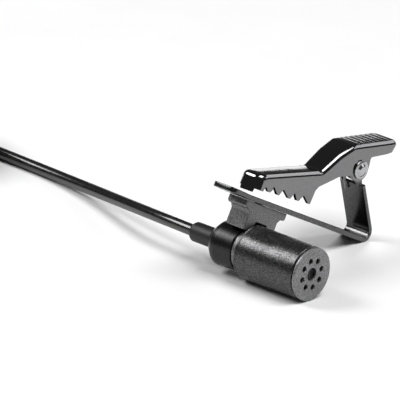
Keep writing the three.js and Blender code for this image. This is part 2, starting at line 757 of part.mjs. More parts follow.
const RELIEF_LENGTH = 8;
const SHELL_LENGTH = 14;
const SHOULDER_X = RELIEF_LENGTH + SHELL_LENGTH; // the flat face that stops against a socket
const CONTACT_BORE_R = 0.6;

function contact(name, outside, color, metalness) {
  return piece(name, turnedTube(outside, CONTACT_BORE_R, COARSE), color, 0.25, metalness);
}

function plug() {
  const group = new THREE.Group();
  const relief = turned([
    [0, 0],
    [0, 1.4],
    [0.4, 1.6],
    [RELIEF_LENGTH - 1, 2.3],
    [RELIEF_LENGTH, 2.3],
    [RELIEF_LENGTH, 0],
  ], COARSE);
  const shell = turned([
    [RELIEF_LENGTH + CLOSE, 0],
    [RELIEF_LENGTH + CLOSE, 2.8],
    [RELIEF_LENGTH + 0.8, SHELL_R],
    [SHOULDER_X - 0.5, SHELL_R],
    [SHOULDER_X, SHELL_R - 0.4],
    [SHOULDER_X, CONTACT_R + CLOSE],
    [SHOULDER_X - 6, CONTACT_R + CLOSE],
    [SHOULDER_X - 6, 0],
  ], 28);
  const gold = 0xc9a24a;
  const sleeveEnd = SHOULDER_X + 6.6;
  const ringStart = sleeveEnd + 0.7;
  const ringEnd = ringStart + 2.1;
  const tipStart = ringEnd + 0.7;
  const flat = (from, to) => [[from, CONTACT_R], [to, CONTACT_R]];
  const tip = turned([
    [SHOULDER_X - 4, 0],
    [SHOULDER_X - 4, CONTACT_BORE_R - CLOSE],
    [tipStart, CONTACT_BORE_R - CLOSE],
    [tipStart, 1.2],
    [tipStart + 0.8, 1.2],
    [tipStart + 1.6, CONTACT_R],
    [tipStart + 2.1, CONTACT_R],
    [tipStart + 3.5, 0.9],
    [tipStart + 3.9, 0.4],
    [tipStart + 4.0, 0],
  ], COARSE);
  group.add(
    piece("plug_relief", relief, 0x141414, 0.7),
    piece("plug_shell", shell, 0x1a1a1b, 0.4, 0.5),
    contact("plug_sleeve_contact", flat(SHOULDER_X - 5, sleeveEnd), gold, 1),
    contact("plug_insulator_rear", flat(sleeveEnd + CLOSE, ringStart - CLOSE), 0x101010, 0),
    contact("plug_ring_contact", flat(ringStart, ringEnd), gold, 1),
    contact("plug_insulator_front", flat(ringEnd + CLOSE, tipStart - CLOSE), 0x101010, 0),
    piece("plug_tip_contact", tip, gold, 0.25, 1),
  );
  return group;
}

function cableAndPlug(microphone) {
  const exit = microphone.position.clone().add(new THREE.Vector3(BOOT_END_X, 0, 0));
  const [joinX, joinY] = COIL_JOIN;
  const centre = new THREE.Vector3(exit.x + joinX, exit.y + joinY - COIL_OUTER_TURN_R, 0);
  const group = new THREE.Group();
  const end = new THREE.Vector3(...tailPoints(centre).pop());
  const towards = tailDirection();
  const plugGroup = plug();
  plugGroup.position.copy(end).addScaledVector(towards, GAP);
  plugGroup.rotation.z = Math.atan2(towards.y, towards.x);
  group.add(cableRun(exit), cableCoil(centre), coilTie(centre), cableTail(centre), plugGroup);
  return group;
}

const microphone = microphoneOnClip();
const lavalier = new THREE.Group();
lavalier.add(microphone, cableAndPlug(microphone));

export default lavalier;
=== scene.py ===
"""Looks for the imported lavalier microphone: smooth, bevelled pieces, its cable, materials and a studio.

The microphone and its clip are drawn in millimetres in the microphone's own frame, as in the CAD source:
X runs along the barrel to the grille, Y towards the clip's bend, Z up to the clip. MIC_TO_ROW then puts them
in the row frame, in metres. The cable and the plug are drawn in the row frame, in millimetres."""

import json
import math

import bmesh
import bpy
from mathutils import Matrix, Vector


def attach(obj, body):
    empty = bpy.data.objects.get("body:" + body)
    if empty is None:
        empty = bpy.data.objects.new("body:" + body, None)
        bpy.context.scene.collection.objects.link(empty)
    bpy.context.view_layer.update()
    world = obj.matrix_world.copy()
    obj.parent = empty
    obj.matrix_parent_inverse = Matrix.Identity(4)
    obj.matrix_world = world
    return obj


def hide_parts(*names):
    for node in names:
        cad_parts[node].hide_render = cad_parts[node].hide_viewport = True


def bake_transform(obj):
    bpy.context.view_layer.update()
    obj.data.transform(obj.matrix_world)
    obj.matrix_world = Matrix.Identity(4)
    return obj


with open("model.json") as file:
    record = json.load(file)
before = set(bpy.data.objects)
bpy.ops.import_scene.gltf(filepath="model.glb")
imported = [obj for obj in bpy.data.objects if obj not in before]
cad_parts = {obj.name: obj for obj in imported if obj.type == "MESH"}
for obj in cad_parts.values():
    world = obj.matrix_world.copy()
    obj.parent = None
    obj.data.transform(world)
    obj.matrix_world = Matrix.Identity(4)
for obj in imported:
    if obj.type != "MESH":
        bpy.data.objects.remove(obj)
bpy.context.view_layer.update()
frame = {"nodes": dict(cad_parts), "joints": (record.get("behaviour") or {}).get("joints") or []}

MM = 0.001
TAU = 2 * math.pi
COLLECTION = bpy.context.scene.collection

# ---------------------------------------------------------------- the microphone's frame

joints = {joint["name"]: joint for joint in frame["joints"]}
X_AXIS = Vector((1, 0, 0))
Z_AXIS = Vector(joints["clip_swivel"]["axis"]).normalized()
Y_AXIS = Z_AXIS.cross(X_AXIS)
TURN_X = 1.2  # the turning joint's place along the barrel
ORIGIN = Vector(joints["mic_turn"]["pos_m"]) - TURN_X * MM * X_AXIS

AXES = Matrix((X_AXIS, Y_AXIS, Z_AXIS)).transposed().to_4x4()
MIC_TO_ROW = Matrix.Translation(ORIGIN) @ AXES @ Matrix.Scale(MM, 4)


def in_row(x, y, z):
    """A point of the microphone's frame in mm, as a place in the row frame in metres."""
    return MIC_TO_ROW @ Vector((x, y, z))


# ---------------------------------------------------------------- sizes shared with the CAD, mm

FACE_X = 13.9
BARREL_R, BARREL_FRONT_R, BARREL_REAR_X, BARREL_WALL = 4.18, 4.13, 1.8, 0.5
CAP_R, CAP_THICKNESS, CAP_GROOVE = 4.08, 0.45, 0.2
CENTRE_HOLE_R, RING_HOLE_R, RING_HOLE_COUNT, RING_HOLE_CIRCLE_R = 1.0, 0.45, 8, 2.14
RING_HOLE_START = math.radians(8.6)
NECK_R, NECK_FRONT_X, NECK_REAR_X = 2.75, 1.7, 0.55
HOUSING_REAR_X = -5.1
BOOT_R, BOOT_END_X = 1.52, -9.5
CABLE_R = 0.9
HOLDER_TOP_Z, HOLDER_WIDTH = 7.09, 3.6
HOLDER_RING_R = 3.15  # 0.3 less than in the CAD, so that the gap round the neck looks dark
STRIP_BOTTOM_Z, STRIP_THICKNESS, STRIP_WIDTH, STRIP_TIP_Y = 7.12, 0.8, 4.66, -9.45
BEND_Y, BEND_R, STRAP_THICKNESS = 24.3, 1.5, 0.6
STRAP_TOP = (20.15, 15.3)
PIVOT_Y, PIVOT_Z, PIN_R, PIN_HEAD_R = 17.35, 17.2, 0.6, 1.45
JAW_FRONT_WIDTH, JAW_LEVER_WIDTH, JAW_SHEET, EAR_R = 4.3, 5.0, 0.5, 1.9
JAW_FRONT, JAW_KNEE, JAW_SHOULDER = (-4.2, 11.2), (9.4, 14.95), (11.8, 18.05)
JAW_CREST, JAW_END, LEVER_END_Y = (14.2, 20.25), (23.6, 23.3), 24.0
NOSE_R, END_R, JAW_BEND_R = 1.4, 0.9, 0.85
RIDGE_COUNT, RIDGE_PITCH = 7, 1.15
RIDGE_WIDTH, RIDGE_HEIGHT = 0.32, 0.05  # lower than in the CAD, so that they catch less light
RIVET_HEAD_R, RIVET_RECESS = 1.2, 0.4
SHELL_R, CONTACT_R = 3.3, 1.75
CLEARANCE = 0.1  # between pieces that fit into each other


# ---------------------------------------------------------------- mesh tools


def ease(t):
    """0 to 1, with a soft start and end, and held outside that range."""
    t = min(1.0, max(0.0, t))
    return t * t * (3 - 2 * t)


def interpolate(table, value):
    """Straight-line interpolation in a list of (from, to) pairs, held at its ends."""
    if value <= table[0][0]:
        return table[0][1]
    for (a, x), (b, y) in zip(table, table[1:]):
        if value <= b:
            return x + (y - x) * (value - a) / (b - a)
    return table[-1][1]


def arc(centre, radius, start, end, steps):
    """Points on an arc, angles in radians."""
    turn = end - start
    angles = [start + turn * i / steps for i in range(steps + 1)]
    return [(centre[0] + radius * math.cos(a), centre[1] + radius * math.sin(a)) for a in angles]


def rounded(corners, closed=True, steps=5):
    """An outline from corners (a, b, radius): each becomes a curve, shortened where a side is short."""
    points = []
    count = len(corners)
    for i, (a, b, radius) in enumerate(corners):
        here = Vector((a, b))
        if not closed and i in (0, count - 1) or radius == 0:
            points.append((a, b))
            continue
        before = Vector(corners[i - 1][:2]) - here
        after = Vector(corners[(i + 1) % count][:2]) - here
        half = before.angle(after) / 2
        reach = min(radius / math.tan(half), 0.48 * before.length, 0.48 * after.length)
        first, last = here + before.normalized() * reach, here + after.normalized() * reach
        for k in range(steps + 1):
            t = k / steps
            point = (1 - t) ** 2 * first + 2 * t * (1 - t) * here + t * t * last
            points.append(tuple(point))
    return points


def new_object(name, mesh):
    obj = bpy.data.objects.new(name, mesh)
    COLLECTION.objects.link(obj)
    return obj


def mesh_object(name, bm):
    """A new object from the bmesh, with doubled points joined and faces turned outward."""
    bmesh.ops.remove_doubles(bm, verts=bm.verts, dist=1e-5)
    bmesh.ops.recalc_face_normals(bm, faces=bm.faces)
    if all(edge.is_manifold for edge in bm.edges) and bm.calc_volume(signed=True) < 0:
        bmesh.ops.reverse_faces(bm, faces=bm.faces)
    mesh = bpy.data.meshes.new(name)
    bm.to_mesh(mesh)
    bm.free()
    return new_object(name, mesh)


def rings_to_faces(bm, rings, closed=True):
    """Joins successive rings of points with quads."""
    made = [[bm.verts.new(p) for p in ring] for ring in rings]
    for one, two in zip(made, made[1:]):
        last = len(one) if closed else len(one) - 1
        for i in range(last):
            j = (i + 1) % len(one)
            bm.faces.new((one[i], one[j], two[j], two[i]))
    return made


def lathe(name, profile, sides=96):
    """A solid turned about X from (x, radius) points, with poles where the radius is 0."""
    bm = bmesh.new()
    angles = [TAU * i / sides for i in range(sides)]
    rings = [[(x, r * math.cos(a), r * math.sin(a)) for a in angles] for x, r in profile]
    rings_to_faces(bm, rings)
    bmesh.ops.dissolve_degenerate(bm, dist=1e-6, edges=bm.edges)
    return mesh_object(name, bm)


def turned_tube(name, outside, bore, sides=96):
    """A turned sleeve: the outside profile, then back through a straight bore."""
    start, end = outside[0][0], outside[-1][0]
    return lathe(name, [(start, bore), *outside, (end, bore), (start, bore)], sides)


def plate(name, outlines, thickness, bevel, steps=3):
    """A flat plate with rounded edges, in XY and centred on Z=0: its outline, then those of its holes."""
    curve = bpy.data.curves.new(name, "CURVE")
    curve.dimensions = "2D"
    curve.fill_mode = "BOTH"
    curve.extrude = thickness / 2 - bevel
    curve.bevel_depth = bevel
    curve.bevel_resolution = steps
    curve.offset = -bevel
    for outline in outlines:
        spline = curve.splines.new("POLY")
        spline.points.add(len(outline) - 1)
        for point, (a, b) in zip(spline.points, outline):
            point.co = (a, b, 0, 1)
        spline.use_cyclic_u = True
    flat = new_object(name + "_curve", curve)
    bpy.context.view_layer.update()
    mesh = bpy.data.meshes.new_from_object(flat.evaluated_get(bpy.context.evaluated_depsgraph_get()))
    bpy.data.objects.remove(flat)
    bm = bmesh.new()
    bm.from_mesh(mesh)
    return mesh_object(name, bm)


SIDE_ON = Matrix(((0, 0, 1, 0), (1, 0, 0, 0), (0, 1, 0, 0), (0, 0, 0, 1)))  # a plate's XY becomes YZ


def slab(name, outlines, width, bevel, centre_x=0.0):
    """A plate standing in the YZ plane, width thick along X."""
    obj = plate(name, outlines, width, bevel)
    obj.data.transform(Matrix.Translation((centre_x, 0, 0)) @ SIDE_ON)
    return obj


def boolean(body, operation, *others):
    """Cuts the others from the body, or joins them to it, and uses them up."""
    for other in others:
        modifier = body.modifiers.new(operation, "BOOLEAN")
        modifier.operation = operation
        modifier.solver = "MANIFOLD"
        modifier.object = other
        apply_modifiers(body)
        bpy.data.objects.remove(other)


def apply_modifiers(obj):
    bpy.context.view_layer.update()
    evaluated = obj.evaluated_get(bpy.context.evaluated_depsgraph_get())
    mesh = bpy.data.meshes.new_from_object(evaluated)
    obj.modifiers.clear()
    obj.data = mesh


def merged(name, *objects):
    """One object from several, in the same frame."""
    bm = bmesh.new()
    for obj in objects:
        bm.from_mesh(obj.data)
        bpy.data.objects.remove(obj)
    mesh = bpy.data.meshes.new(name)
    bm.to_mesh(mesh)
    bm.free()
    return new_object(name, mesh)


def smooth(obj, angle=35):
    """Smooth shading, with an edge kept sharp where its faces meet at more than the angle, in degrees."""
    mesh = obj.data
    mesh.shade_smooth()
    mesh.set_sharp_from_angle(angle=math.radians(angle))


def finish_piece(obj, body, nodes, material, matrix=MIC_TO_ROW, angle=35):
    """Puts a piece in the row frame, smooths it, gives it its finish, hangs it on the body it rides on and
    hides the CAD parts it stands for.
    """
    obj.data.transform(matrix)
    smooth(obj, angle)
    obj.data.materials.clear()
    obj.data.materials.append(material)
    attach(obj, body)
    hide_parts(*nodes)
    return obj


# ---------------------------------------------------------------- materials


class Nodes:
    """A short way to build a material's nodes."""

    def __init__(self, name):
        self.material = bpy.data.materials.new(name)
        self.material.use_nodes = True
        self.tree = self.material.node_tree
        self.shader = self.tree.nodes["Principled BSDF"]

    def add(self, kind, **inputs):
        node = self.tree.nodes.new(kind)
        for key, value in inputs.items():
            self.feed(node.inputs[key.replace("_", " ")], value)
        return node

    def feed(self, socket, value):
        if isinstance(value, bpy.types.NodeSocket):
            self.tree.links.new(value, socket)
        else:
            socket.default_value = value

    def set(self, **inputs):
        for key, value in inputs.items():
            self.feed(self.shader.inputs[key.replace("_", " ")], value)

    def noise(self, scale, detail=3.0, roughness=0.6):
        place = self.add("ShaderNodeTexCoord").outputs["Object"]
        node = self.add("ShaderNodeTexNoise", Vector=place, Scale=scale)
        node.inputs["Detail"].default_value = detail
        node.inputs["Roughness"].default_value = roughness
        return node.outputs["Fac"]

    def ramp(self, value, low, high):
        """The middle of a noise's range spread from low to high."""
        node = self.add("ShaderNodeMapRange", Value=value)
        node.inputs["From Min"].default_value = 0.3
        node.inputs["From Max"].default_value = 0.7
        node.inputs["To Min"].default_value = low
        node.inputs["To Max"].default_value = high
        return node.outputs["Result"]

    def colours(self, value, dark, light):
        node = self.tree.nodes.new("ShaderNodeValToRGB")
        node.color_ramp.elements[0].position = 0.3
        node.color_ramp.elements[0].color = (*dark, 1)
        node.color_ramp.elements[1].position = 0.7
        node.color_ramp.elements[1].color = (*light, 1)
        self.feed(node.inputs["Fac"], value)
        return node.outputs["Color"]

    def bump(self, height, depth, strength=1.0, after=None):
        """Height 0 to 1 stands for depth metres."""
        node = self.add("ShaderNodeBump", Height=height, Strength=strength, Distance=depth)
        if after is not None:
            self.feed(node.inputs["Normal"], after)
        return node.outputs["Normal"]


def grey(value):
    """A grey with a trace of blue."""
    return (value, value, value * 1.02)


def blasted(name, dark, light, roughness, grain=0.00018, depth=0.00002, metallic=0.0, specular=0.5):
    """Bead-blasted or cast metal under a thin black finish: a fine grain of pits and bright specks."""
    n = Nodes(name)
    fine = n.noise(1 / grain, 2.0, 0.7)
    coarse = n.noise(0.12 / grain, 3.0)
    n.set(Base_Color=n.colours(fine, grey(dark), grey(light)), Metallic=metallic)
    n.set(Specular_IOR_Level=specular)
    n.set(Roughness=n.ramp(coarse, roughness - 0.05, roughness + 0.05))
    n.set(Normal=n.bump(fine, depth))
    return n.material


def satin(name, colour, roughness, specular=0.5, depth=0.000004):
    """A smooth satin surface with faint handling marks."""
    n = Nodes(name)
    marks = n.noise(900, 4.0, 0.7)
    skin = n.noise(9000, 2.0)
    n.set(Base_Color=n.colours(marks, grey(colour * 0.85), grey(colour * 1.15)))
    n.set(Specular_IOR_Level=specular, Roughness=n.ramp(marks, roughness - 0.04, roughness + 0.05))
    n.set(Normal=n.bump(skin, depth))
    return n.material


def black_chrome(name, dark, light, roughness):
    """Dark plated steel: clear reflections, faintly waved by the pressing."""
    n = Nodes(name)
    wave = n.noise(350, 2.0, 0.5)
    fine = n.noise(4000, 3.0, 0.6)
    n.set(Base_Color=n.colours(fine, grey(dark), grey(light)), Metallic=1.0)
    n.set(Roughness=n.ramp(fine, roughness - 0.03, roughness + 0.05))
    n.set(Normal=n.bump(fine, 0.000003, after=n.bump(wave, 0.00003, 0.6)))
    return n.material


def plated(name, colour, roughness):
    """Bright plating with faint wear."""
    n = Nodes(name)
    wear = n.noise(2500, 2.0, 0.6)
    n.set(Base_Color=n.colours(wear, tuple(c * 0.92 for c in colour), colour), Metallic=1.0)
    n.set(Roughness=n.ramp(wear, roughness - 0.05, roughness + 0.06))
    n.set(Normal=n.bump(wear, 0.000003))
    return n.material


def woven(name, colour):
    """Woven fabric: fine threads both ways with a matt, fuzzy look."""
    n = Nodes(name)
    place = n.add("ShaderNodeTexCoord").outputs["Object"]
    threads = []
    for direction in ("X", "Y"):
        wave = n.add("ShaderNodeTexWave", Vector=place, Scale=900.0, Distortion=0.6)
        wave.bands_direction = direction
        threads.append(wave.outputs["Fac"])
    both = n.add("ShaderNodeMath")
    both.operation = "MULTIPLY"
    n.feed(both.inputs[0], threads[0])
    n.feed(both.inputs[1], threads[1])
    weave = both.outputs[0]
    n.set(Base_Color=n.colours(weave, grey(colour * 0.5), grey(colour * 1.6)), Roughness=0.9)
    n.set(Sheen_Weight=0.3, Normal=n.bump(weave, 0.00008))
    return n.material


def coloured_plastic(name, colour, roughness):
    """A moulded or enamelled surface with faint marks."""
    n = Nodes(name)
    marks = n.noise(1500, 3.0)
    n.set(Base_Color=n.colours(marks, tuple(0.8 * c for c in colour), colour), Roughness=roughness)
    return n.material


BARREL = blasted("barrel_black", 0.001, 0.15, 0.27, metallic=0.8, specular=0.35)
GRILLE = blasted("grille_black", 0.09, 0.36, 0.45, grain=0.00022, depth=0.00003, metallic=0.8)
NECK = satin("neck_black", 0.008, 0.4)
HOUSING = satin("housing_black", 0.006, 0.28, specular=0.4)
RUBBER = blasted("boot_rubber", 0.006, 0.016, 0.5, grain=0.00025, depth=0.00001)
CABLE = satin("cable_jacket", 0.006, 0.22, specular=1.0, depth=0.000003)
HOLDER = blasted("holder_grey", 0.05, 0.3, 0.38, grain=0.0002, depth=0.00003, metallic=0.6)
RIVET = black_chrome("rivet_steel", 0.18, 0.26, 0.3)
JAW = black_chrome("jaw_steel", 0.18, 0.22, 0.05)
STRIP = black_chrome("strip_steel", 0.07, 0.15, 0.22)
PIN = black_chrome("pin_steel", 0.4, 0.5, 0.2)
SPRING = black_chrome("spring_steel", 0.2, 0.3, 0.28)
CLOTH = woven("acoustic_cloth", 0.012)
TIE = woven("tie_fabric", 0.02)
SHELL = satin("plug_black", 0.012, 0.35, specular=0.55)
GOLD = plated("contact_gold", (0.85, 0.62, 0.26), 0.2)
INSULATOR = satin("insulator_black", 0.012, 0.25)
SLEEVE = satin("soft_rubber", 0.02, 0.6)
CAN = plated("capsule_can", (0.75, 0.75, 0.76), 0.3)
BRASS = plated("crimp_brass", (0.7, 0.5, 0.22), 0.3)

INNER_NODES = {  # the pieces inside, which keep their CAD shape
    "capsule_sleeve": SLEEVE,
    "electret_capsule": CAN,
    "capsule_board": coloured_plastic("board_green", (0.02, 0.16, 0.06), 0.5),
    "signal_wire": coloured_plastic("wire_red", (0.5, 0.03, 0.03), 0.35),
    "ground_wire": coloured_plastic("wire_white", (0.75, 0.75, 0.72), 0.35),
    "crimp_sleeve": BRASS,
    "cable_end": CABLE,
}
for inner_name, inner_material in INNER_NODES.items():
    inner = frame["nodes"][inner_name]
    inner.data.materials.clear()
    inner.data.materials.append(inner_material)
    smooth(inner)


# ---------------------------------------------------------------- microphone


def barrel():
    """The turned tube, with a fine turned line by its rear edge."""
    front, rear = FACE_X - CAP_THICKNESS - CAP_GROOVE, BARREL_REAR_X
    inner = BARREL_R - BARREL_WALL
    line = 0.06
    profile = rounded([
        (rear, 1.9, 0),
        (rear, BARREL_R - 0.22, 0.08),
        (rear + 0.16, BARREL_R - 0.02, 0.1),
        (rear + 0.42, BARREL_R, 0.05),
        (rear + 0.5, BARREL_R - line, 0.03),
        (rear + 0.58, BARREL_R, 0.05),
        (front - 0.12, BARREL_FRONT_R, 0.1),
        (front, BARREL_FRONT_R - 0.12, 0.1),
        (front, inner, 0),
        (rear + 0.8, inner, 0),
        (rear + 0.8, 1.9, 0),
        (rear, 1.9, 0),
    ], closed=False)
    piece = lathe("barrel_shell", profile)
    return finish_piece(piece, "microphone", ["barrel"], BARREL)


def grille_cap():
    """The perforated face, and the skirt that holds it in the barrel."""
    holes = [arc((0, 0), CENTRE_HOLE_R, 0, -TAU, 64)[:-1]]
    for i in range(RING_HOLE_COUNT):
        angle = RING_HOLE_START + TAU * i / RING_HOLE_COUNT
        centre = (RING_HOLE_CIRCLE_R * math.sin(angle), RING_HOLE_CIRCLE_R * math.cos(angle))
        holes.append(arc(centre, RING_HOLE_R, 0, -TAU, 32)[:-1])
    edge = arc((0, 0), CAP_R, 0, TAU, 128)[:-1]
    face = slab("grille_face", [edge, *holes], CAP_THICKNESS, 0.09, FACE_X - CAP_THICKNESS / 2)
    back = FACE_X - CAP_THICKNESS + 0.05
    skirt_r = BARREL_R - BARREL_WALL - CLEARANCE
    skirt_end = back - CAP_GROOVE - 1.45
    skirt = turned_tube("grille_skirt", [(skirt_end, skirt_r), (back, skirt_r)], skirt_r - 0.35)
    cap = merged("grille", face, skirt)
    return finish_piece(cap, "microphone", ["grille_cap"], GRILLE)


def acoustic_mesh():
    """The cloth disc behind the face."""
    front = FACE_X - CAP_THICKNESS - 0.3
    radius = 3.2
    profile = rounded([
        (front - 0.2, 0, 0),
        (front - 0.2, radius, 0.05),
        (front, radius, 0.05),
        (front, 0, 0),
    ], closed=False)
    piece = lathe("grille_cloth", profile)
    return finish_piece(piece, "microphone", ["acoustic_mesh"], CLOTH)


def neck_collar():
    """The narrow neck that the holder's ring runs on, with spigots into the barrel and the housing."""
    profile = rounded([
        (NECK_REAR_X - 1.6, 2.2, 0),
        (NECK_REAR_X, 2.2, 0),
        (NECK_REAR_X, NECK_R, 0.06),
        (NECK_FRONT_X, NECK_R, 0.06),
        (NECK_FRONT_X, 1.8, 0),
        (NECK_FRONT_X + 1.6, 1.8, 0),
    ], closed=False)
    piece = turned_tube("neck", profile, 1.2)
    return finish_piece(piece, "microphone", ["neck_collar"], NECK)


def rear_housing():
    """The swelling rear shell, with a hole for the boot."""
    front = NECK_REAR_X - CLEARANCE
    bore = BOOT_R + 0.06
    profile = rounded([
        (front, 2.3, 0),
        (front, 3.2, 0.08),
        (front - 0.14, 3.3, 0.1),
        (-1.2, 3.42, 1.0),
        (-2.7, 3.55, 1.0),
        (-3.45, 3.45, 0.6),
        (-4.4, 2.6, 1.2),
        (HOUSING_REAR_X, 1.85, 0.3),
        (HOUSING_REAR_X, bore, 0.05),
        (HOUSING_REAR_X + 0.7, bore, 0),
        (HOUSING_REAR_X + 0.7, 2.5, 0),
        (front, 2.5, 0),
        (front, 2.3, 0),
    ], closed=False, steps=8)
    piece = lathe("housing", profile)
    return finish_piece(piece, "microphone", ["rear_housing"], HOUSING)


def cable_boot():
    """The strain relief, with the wider head that holds it in the housing."""
    head_x = HOUSING_REAR_X + 0.8
    bore = CABLE_R + CLEARANCE
    profile = rounded([
        (BOOT_END_X, bore, 0),
        (BOOT_END_X, BOOT_R - 0.25, 0.12),
        (BOOT_END_X + 0.4, BOOT_R, 0.3),
        (head_x, BOOT_R, 0),
        (head_x, 2.3, 0.1),
        (head_x + 0.7, 2.3, 0.1),
        (head_x + 0.7, bore, 0),
        (BOOT_END_X, bore, 0),
    ], closed=False)
    piece = lathe("strain_relief", profile)
    return finish_piece(piece, "microphone", ["cable_boot"], RUBBER)


# ---------------------------------------------------------------- clip


def solid_rod(name, radius, start, end):
    return lathe(name, [(start, 0), (start, radius), (end, radius), (end, 0)])


def box_cutter(name, low, high):
    bm = bmesh.new()
    bmesh.ops.create_cube(bm, size=1)
    bm.transform(Matrix.Diagonal((*(h - l for l, h in zip(low, high)), 1)))
    bm.transform(Matrix.Translation([(l + h) / 2 for l, h in zip(low, high)]))
    return mesh_object(name, bm)


def mic_holder():
    """The flanged block under the clip, with its open ring round the neck."""
    half = HOLDER_WIDTH / 2
    near_side = [
        (-5.15, HOLDER_TOP_Z, 0.1),
        (-5.15, 6.2, 0.2),
        (-4.9, 5.95, 0.15),
        (-4.1, 5.85, 0.3),
        (-3.65, 5.3, 0.5),
        (-3.65, 2.8, 0),
    ]
    far_side = [(-y, z, radius) for y, z, radius in reversed(near_side)]
    block = slab("holder", [rounded(near_side + far_side)], HOLDER_WIDTH, 0.14)
    ring_start, ring_end = NECK_REAR_X + CLEARANCE, NECK_FRONT_X
    ring = solid_rod("ring", HOLDER_RING_R, ring_start, ring_end)
    ring_gap = box_cutter("ring_gap", (ring_start - 1, -1.5, -5), (ring_end + 1, 1.5, 0))
    housing_space = solid_rod("housing_space", 3.8, -half - 1, ring_start)
    barrel_space = solid_rod("barrel_space", BARREL_R + CLEARANCE, ring_end, half + 1)
    neck_space = solid_rod("neck_space", NECK_R + CLEARANCE, -half - 1, half + 1)
    slot = rounded([(-1.5, 3.4, 0.2), (1.5, 3.4, 0.2), (1.5, 4.45, 0.2), (-1.5, 4.45, 0.2)])
    slot_start, slot_end = -0.4, half + 1
    slot_cut = slab("slot_cut", [slot], slot_end - slot_start, 0.01, (slot_start + slot_end) / 2)
    boolean(block, "DIFFERENCE", housing_space, barrel_space)
    boolean(ring, "DIFFERENCE", ring_gap)
    boolean(block, "UNION", ring)
    boolean(block, "DIFFERENCE", neck_space, slot_cut)
    return finish_piece(block, "holder", ["mic_holder"], HOLDER, angle=30)


def swivel_rivet():
    """The rivet that the clip turns on, its head flush with the strip."""
    foot, top = 4.75, STRIP_BOTTOM_Z + STRIP_THICKNESS
    head = top - RIVET_RECESS + CLEARANCE
    profile = rounded([
        (foot, 0, 0),
        (foot, PIN_R, 0.1),
        (head, PIN_R, 0),
        (head, RIVET_HEAD_R, 0.05),
        (top, RIVET_HEAD_R, 0.08),
        (top, 0, 0),
    ], closed=False)
    upright = MIC_TO_ROW @ Matrix.Rotation(-math.pi / 2, 4, "Y")
    rivet = lathe("rivet", profile, 64)
    return finish_piece(rivet, "holder", ["swivel_rivet"], RIVET, matrix=upright)


def strip_section(half_width, outer, inner, edge):
    """A rounded rectangle across the strip: X across, from the outer to the inner point in YZ."""
    normal = Vector(inner) - Vector(outer)
    thickness = normal.length
    normal.normalize()
    edge = min(edge, 0.45 * thickness, 0.45 * half_width)
    flat = rounded([
        (-half_width, 0, edge),
        (half_width, 0, edge),
        (half_width, thickness, edge),
        (-half_width, thickness, edge),
    ], steps=4)
    return [(x, outer[0] + normal.x * h, outer[1] + normal.y * h) for x, h in flat]


def tip_half_width(distance, half, corner):
    """Half the strip's width at a distance from its tip, whose corners are round."""
    if distance >= corner:
        return half
    return half - corner + math.sqrt(corner ** 2 - (corner - distance) ** 2)


def strap_direction():
    """Angle of the strap above the bend, tangent to the bend's outer circle."""
    reach = Vector(STRAP_TOP) - Vector((BEND_Y, STRIP_BOTTOM_Z + BEND_R))
    return math.atan2(reach.y, reach.x) + math.asin(BEND_R / reach.length)


def lower_strip():
    """Strip, bend and strap as one pressed band: its tip turned up a little, and its edges rounded."""
    half, corner, rise, level_y = STRIP_WIDTH / 2, 1.0, 0.2, -5.2
    edge, rounding = 0.15, 0.16
    sections = []
    stations = [0.0, 0.02, 0.06, 0.12, 0.2, 0.35, 0.55, 0.8, 1.0, 1.5, 2.5, 3.5, 4.25]  # from the tip
    for distance in stations:
        y = STRIP_TIP_Y + distance
        past_round = 1 - min(distance, rounding) / rounding
        bend_in = rounding * (1 - math.sqrt(max(0.0, 1 - past_round ** 2)))
        bottom = STRIP_BOTTOM_Z + rise * max(0.0, (level_y - y) / (level_y - STRIP_TIP_Y))
        wide = tip_half_width(max(distance, 0.02), half, corner) - 0.5 * bend_in
        outer, inner = (y, bottom + bend_in), (y, bottom + STRIP_THICKNESS - bend_in)
        sections.append(strip_section(wide, outer, inner, edge))
    top = STRIP_BOTTOM_Z + STRIP_THICKNESS
    for i in range(14):  # the level part
        y = -3 + 2 * i
        sections.append(strip_section(half, (y, STRIP_BOTTOM_Z), (y, top), edge))
    centre = (BEND_Y, STRIP_BOTTOM_Z + BEND_R)
    outward = strap_direction() - math.pi / 2
    inner_r = BEND_R - STRAP_THICKNESS
    steps = 22
    for i in range(steps + 1):
        t = i / steps
        angle = -math.pi / 2 + (outward + math.pi / 2) * t
        extra = 0.2 * (1 - min(1.0, t * 3)) ** 2  # the strip thins as it starts to bend
        outer = (centre[0] + BEND_R * math.cos(angle), centre[1] + BEND_R * math.sin(angle))
        inner_here = inner_r - extra
        inner = (centre[0] + inner_here * math.cos(angle), centre[1] + inner_here * math.sin(angle))
        sections.append(strip_section(half, outer, inner, edge))
    away = Vector((math.cos(outward), math.sin(outward)))
    foot, head = Vector(centre) + BEND_R * away, Vector(STRAP_TOP)
    rise_steps = 8
    for i in range(1, rise_steps + 1):
        outer = foot.lerp(head, i / rise_steps)
        sections.append(strip_section(half, outer, outer - STRAP_THICKNESS * away, edge))
    bm = bmesh.new()
    rings = rings_to_faces(bm, sections)
    bm.faces.new(rings[0])
    bm.faces.new(list(reversed(rings[-1])))
    return mesh_object("strip", bm)


def inner_ears():
    """The two ears that carry the pin, rising from the strap's top corners."""
    ear_r = EAR_R - 0.2
    start, end = -0.1 * math.pi, 1.05 * math.pi
    web = [(PIVOT_Y - 1.85, 15.6), (18.6, 15.2), (19.5, 14.75)]
    outline = [(20.05, 15.25), *arc((PIVOT_Y, PIVOT_Z), ear_r, start, end, 28), *web]
    hole = arc((PIVOT_Y, PIVOT_Z), PIN_R + 0.05, 0, -TAU, 32)[:-1]
    return [slab(f"ear{side}", [outline, hole], 0.45, 0.08, side * 1.575) for side in (-1, 1)]


